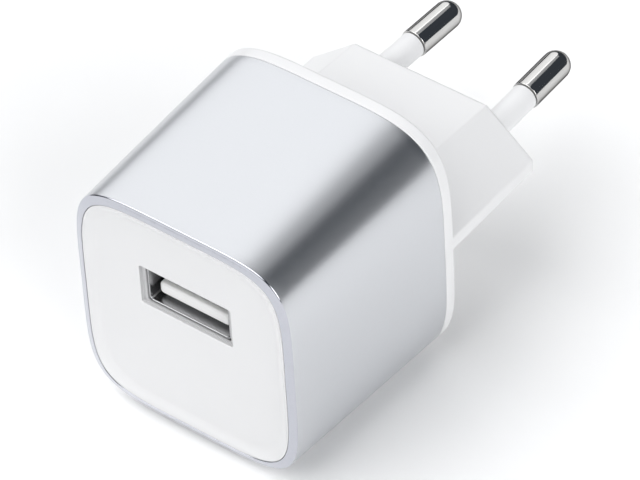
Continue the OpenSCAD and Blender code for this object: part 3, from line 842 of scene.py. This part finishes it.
def nose_loop(y, inset=0.0):
    """The nose's eight-sided outline at depth y, moved in by inset."""
    draft = y / RIM_Y
    flat = NOSE_HALF_FLAT + NOSE_DRAFT_W * draft
    half_h = NOSE_HALF_H + NOSE_DRAFT_H * draft
    half_w = NOSE_HALF_W + NOSE_DRAFT_W * draft
    slant = atan((half_h - NOSE_SIDE_H) / (half_w - flat))
    flat -= inset * tan(slant / 2)
    side = NOSE_SIDE_H - inset * tan(pi / 4 - slant / 2)
    w, h = half_w - inset, half_h - inset
    corners = [(w, -side), (w, side), (flat, h), (-flat, h)]
    corners += [(-x, -z) for x, z in corners]
    radius = max(0.15, NOSE_CORNER_R - inset)
    outline = rounded_polygon([Vector(c) for c in corners], radius, 6)
    return [Vector((p.x, y, p.y)) for p in outline]


def pin_axis(side):
    """Where one pin's axis leaves the nose, and its direction."""
    return Vector((side * PIN_HALF_GAP, 0, 0)), Vector((-side * sin(PIN_TILT), cos(PIN_TILT), 0))


def board_rails(white):
    """Two ribs on each side wall of the tub, which hold the board's edges."""
    wall = FRONT_HALF_W - SLEEVE_WALL - 0.2
    y = (LIP_Y + 2.5, TUB_FLOOR_Y + 0.2)
    heights = [(BOARD_Z - GAP - RAIL_T, BOARD_Z - GAP), (BOARD_TOP + GAP, BOARD_TOP + GAP + RAIL_T)]
    return [slab(sorted((side * RAIL_REACH, side * wall)), y, z, "rail", [white])
            for side in (-1, 1) for z in heights]


def retainer_pegs(white):
    """Two pegs inside the nose, which locate the plate that holds the pins."""
    pegs = []
    for side in (-1, 1):
        peg = Solid()
        profile = [(0, PEG_END_Y), (PEG_R - 0.15, PEG_END_Y), (PEG_R, PEG_END_Y + 0.15)]
        profile += [(PEG_R, -NOSE_END_WALL + 0.2), (0, -NOSE_END_WALL + 0.2)]
        revolve(peg, profile, Vector((side * PEG_X, 0, 0)), Vector((0, 1, 0)), count=48)
        pegs.append(build(peg, "peg", [white]))
    return pegs


def make_main_housing(white):
    """The white tub with its rim and the plug nose, hollow inside."""
    tub = Solid()
    outer, inner = FIT_INSET, FIT_INSET + TUB_WALL
    rim_front_y = REAR_Y + GAP
    front_round, rim_round = 0.1, 0.5
    loops = [(TUB_FLOOR_Y, inner), (TUB_FRONT_Y, inner), (TUB_FRONT_Y, outer), (REAR_Y, outer)]
    loops.append((rim_front_y, front_round))
    loops += [(rim_front_y + front_round * (1 - c), front_round * (1 - s)) for s, c in arc(20, 90, 3)]
    loops += [(REAR_Y + 0.5, 0), (RIM_Y - rim_round - 0.1, 0)]
    loops += [(RIM_Y - rim_round * (1 - s), rim_round * (1 - c)) for s, c in arc(0, 90, 8)]
    loops += [(RIM_Y, rim_round + 0.2)]
    floor, rear = tub.skin([body_loop(y, inset) for y, inset in loops])
    tub.fill(floor)
    tub.fill(rear)
    housing = build(tub, "main_housing_smooth", [white])

    nose = Solid()
    end_round = 0.6
    root_y, straight_end_y, steps = RIM_Y + 0.3, -end_round - 0.1, 6
    depths = [TUB_FLOOR_Y + 0.6, RIM_Y - 0.3]
    depths += [root_y + (straight_end_y - root_y) * k / steps for k in range(steps + 1)]
    rings = [nose_loop(y) for y in depths]
    rings += [nose_loop(-end_round * (1 - s), end_round * (1 - c)) for s, c in arc(0, 90, 7)]
    rings.append(nose_loop(0, end_round + 0.15))
    base, end = nose.skin(rings)
    nose.fill(base)
    nose.fill(end)
    combine(housing, "UNION", build(nose, "nose", [white]))

    cavity = Solid()
    base, end = cavity.skin([nose_loop(y, NOSE_WALL) for y in (TUB_FLOOR_Y - 0.5, -NOSE_END_WALL)])
    cavity.fill(base)
    cavity.fill(end)
    cutters = [build(cavity, "cavity")]
    hole_r = PIN_SLEEVE_R + 0.12
    mouth_r = hole_r + 0.14
    for side in (-1, 1):
        hole = Solid()
        profile = [(0, -3), (hole_r, -3), (hole_r, -0.12), (mouth_r, 0.02), (mouth_r, 1), (0, 1)]
        revolve(hole, profile, *pin_axis(side))
        cutters.append(build(hole, "pin_hole"))
    combine(housing, "DIFFERENCE", *cutters)
    combine(housing, "UNION", *board_rails(white), *retainer_pegs(white))
    half_w, window_y = HOOK_W / 2 + 0.2, (HOOK_END_Y - 2.2, HOOK_END_Y - 0.9)
    windows = [slab((x - half_w, x + half_w), window_y, (BODY_Z + z, BODY_Z + z + 10), "window")
               for x in HOOK_SIDES for z in (-20, 10)]
    combine(housing, "DIFFERENCE", *windows)
    stand_for(housing, "housing_white", "main_housing")


def make_pin(side, name, nickel):
    """One plug pin: riveted tail, collar, shank in its sleeve and bare rounded end."""
    tail, rivet_r, rivet_t = 6.0, 2.3, 0.6
    flange_front, flange_rear, flange_r = -2.1, -3.2, 2.6
    edge, dome_y = 0.1, PIN_LEN - PIN_R
    profile = [(0, -tail - rivet_t), (rivet_r - 0.2, -tail - rivet_t), (rivet_r, -tail - 0.45)]
    profile += [(rivet_r, -tail), (SHANK_R, -tail)]
    profile += [(SHANK_R, flange_rear), (flange_r - edge, flange_rear), (flange_r, flange_rear + edge)]
    profile += [(flange_r, flange_front - edge), (flange_r - edge, flange_front), (SHANK_R, flange_front)]
    profile += [(SHANK_R, PIN_SLEEVE_LEN), (PIN_R - edge, PIN_SLEEVE_LEN)]
    profile += [(PIN_R - edge * (1 - s), PIN_SLEEVE_LEN + edge * (1 - c)) for s, c in arc(22, 90, 4)]
    profile += [(PIN_R, PIN_SLEEVE_LEN + 0.4), (PIN_R, dome_y - 3), (PIN_R, dome_y)]
    profile += [(PIN_R * c, dome_y + PIN_R * s) for s, c in arc(5, 87, 18)]
    profile.append((0, PIN_LEN))
    solid = Solid()
    revolve(solid, profile, *pin_axis(side))
    stand_for(build(solid, name + "_smooth", [nickel]), "nickel", name)


def make_pin_sleeve(side, name, white):
    """The insulating sleeve moulded on a pin, with a soft front edge and a groove at the metal."""
    r, edge, groove = PIN_SLEEVE_R, 0.1, 0.14
    end = PIN_SLEEVE_LEN - groove
    profile = [(SHANK_R, -2), (r - edge, -2), (r, -2 + edge), (r, 0), (r, end - 2)]
    profile += [(r - edge * (1 - c), end - edge * (1 - s)) for s, c in arc(0, 90, 5)]
    profile += [(SHANK_R, end), (SHANK_R, -2)]
    solid = Solid()
    revolve(solid, profile, *pin_axis(side))
    stand_for(build(solid, name + "_smooth", [white]), "sleeve_white", name)


def shell_leg(side, y, steel):
    """One flat solder leg on a side of the shell, with a tapered end."""
    leg = Solid()
    rings = []
    levels = [(shell_high.z - 0.5, 0.55, 0.05), (shell_high.z - 1.2, 0.8, 0), (PORT_Z + 1.6, 0.8, 0)]
    for z, half, inset in levels:
        outline = [(inset, -half), (SHELL_T - inset, -half), (SHELL_T - inset, half), (inset, half)]
        rings.append([Vector((side * (PORT_W / 2 + x), y + along, z)) for x, along in outline])
    top, bottom = leg.skin(rings)
    leg.fill(top)
    leg.fill(bottom)
    return build(leg, "leg", [steel])


def make_usb_shell(steel):
    """The port's stamped shell: a rounded tube with spring fingers, a roof notch and solder legs."""
    front, rear = shell_low.y, shell_high.y
    floor_z, roof_z = PORT_Z - PORT_H / 2, PORT_Z + PORT_H / 2
    lip, inner_r = SHELL_T / 2, 0.4

    def tube(grow, y):
        return rounded_rect(PORT_W + 2 * grow, PORT_H + 2 * grow, inner_r + grow, y, PORT_Z)

    solid = Solid()
    loops = [tube(0, rear)]
    loops += [tube(lip * (1 - c), front + lip * (1 - s)) for s, c in arc(0, 90, 5)]
    loops += [tube(lip * (1 + c), front + lip * (1 - s)) for s, c in arc(75, 0, 5)]
    loops += [tube(SHELL_T, rear)]
    first, last = solid.skin(loops)
    solid.join(last, first)
    shell = build(solid, "usb_shell_smooth", [steel])

    leg_places = (front + 4.2, front + 9.9)
    combine(shell, "UNION", *[shell_leg(side, y, steel) for side in (-1, 1) for y in leg_places])

    finger_x, finger_half_w, slit = 3.2, 1.3, 0.15
    start, end = front + 2.5, front + 7.5
    cuts = [slab((-4.2, 4.2), (rear - 2.2, rear + 1), (roof_z - 0.7, roof_z + 1), "notch")]
    for x in (-finger_x, finger_x):
        for z in ((floor_z - 1, floor_z + 0.2), (roof_z - 0.2, roof_z + 1)):
            for edge in (x - finger_half_w, x + finger_half_w):
                cuts.append(slab((edge - slit, edge + slit), (start, end), z, "slit"))
            half_w = finger_half_w + 0.1
            cuts.append(slab((x - half_w, x + half_w), (end - 2 * slit, end), z, "slit"))
    combine(shell, "DIFFERENCE", *cuts)
    stand_for(shell, "stamped_steel", "usb_shell")


def make_usb_insulator(white):
    """The tongue and its block, with a slot and a passage for each contact."""
    front, rear = insulator_low.y, insulator_high.y
    block_front = front + 8.4
    tip_r, side_r = 0.45, 0.5

    def tongue_loop(y, inset=0.0):
        return rounded_rect(TONGUE_W - 2 * inset, TONGUE_T - 2 * inset, side_r - inset / 2, y,
                            TONGUE_BOTTOM + TONGUE_T / 2, 6)

    tongue = Solid()
    rings = [tongue_loop(front + tip_r * (1 - s), tip_r * (1 - c)) for s, c in arc(90, 0, 7)]
    rings.append(tongue_loop(block_front + 0.2))
    first, last = tongue.skin(rings)
    tongue.fill(first)
    tongue.fill(last)
    insulator = build(tongue, "usb_insulator_smooth", [white])

    block = Solid()
    block_w, block_h = insulator_high.x - insulator_low.x, insulator_high.z - insulator_low.z
    edge = 0.12
    rings = [rounded_rect(block_w - 2 * inset, block_h - 2 * inset, 0.4, y, PORT_Z, 6)
             for y, inset in ((block_front, edge), (block_front + edge, 0), (rear - edge, 0), (rear, edge))]
    first, last = block.skin(rings)
    block.fill(first)
    block.fill(last)
    combine(insulator, "UNION", build(block, "block", [white]))

    cuts = []
    slot_half, passage_half = 0.65, 0.175
    slot_z = (TONGUE_BOTTOM + 0.5, TONGUE_BOTTOM + TONGUE_T + 1)
    root_z, tails_y = TONGUE_BOTTOM + 1.35, shell_high.y - 1.75
    for i in range(1, 5):
        low, high = span(f"usb_contact_{i}")
        middle = (low.x + high.x) / 2
        slot = (middle - slot_half, middle + slot_half)
        passage = (low.x - GAP, high.x + GAP)
        cuts.append(slab(slot, (front + 0.8, block_front), slot_z, "slot"))
        cuts.append(slab(passage, (block_front - 0.1, tails_y + 0.05),
                         (root_z - passage_half, root_z + passage_half), "passage"))
        cuts.append(slab(passage, (tails_y, shell_high.y), (root_z - passage_half, shell_high.z), "passage"))
    combine(insulator, "DIFFERENCE", *cuts)
    stand_for(insulator, "insulator_white", "usb_insulator")


def paint_cad_nodes(paints):
    """Every CAD node takes its slot's material, whether or not a piece stands for it."""
    for part in frame["record"]["subparts"]:
        node = frame["nodes"][part["node"]]
        paint = paints[part["material_slot"]]
        if not node.material_slots:
            node.data.materials.append(paint)
        for slot in node.material_slots:
            slot.material = paint


def make_floor(paint):
    """A wide round floor under the charger."""
    radius, height = 12000, cad_box[0][2] / MM
    solid = Solid()
    edge = solid.add([Vector((radius * cos(a), radius * sin(a), height)) for a in turns(96)])
    solid.face(edge, smooth=False)
    floor = build(solid, "floor", [paint])


# ------------------------------------------------------------------ the scene

make_camera()
make_lights()
make_world()
paints = make_paints()
paint_cad_nodes(paints)
make_metal_sleeve(paints["satin_aluminium"], polished_aluminium())
# The port recess's plastic: matt, and a darker grey as painted shade inside the recess
recess_matt_painted_shade = moulded_plastic("recess_matt_painted_shade", (0.50, 0.50, 0.505), 0.5, 0.001, grain=0.2)
make_front_cover(paints["gloss_white"], recess_matt_painted_shade)
make_main_housing(paints["housing_white"])
for side, hand in ((-1, "left"), (1, "right")):
    make_pin(side, "pin_" + hand, paints["nickel"])
    make_pin_sleeve(side, "pin_sleeve_" + hand, paints["sleeve_white"])
make_usb_shell(paints["stamped_steel"])
make_usb_insulator(paints["insulator_white"])
make_floor(pale_floor())
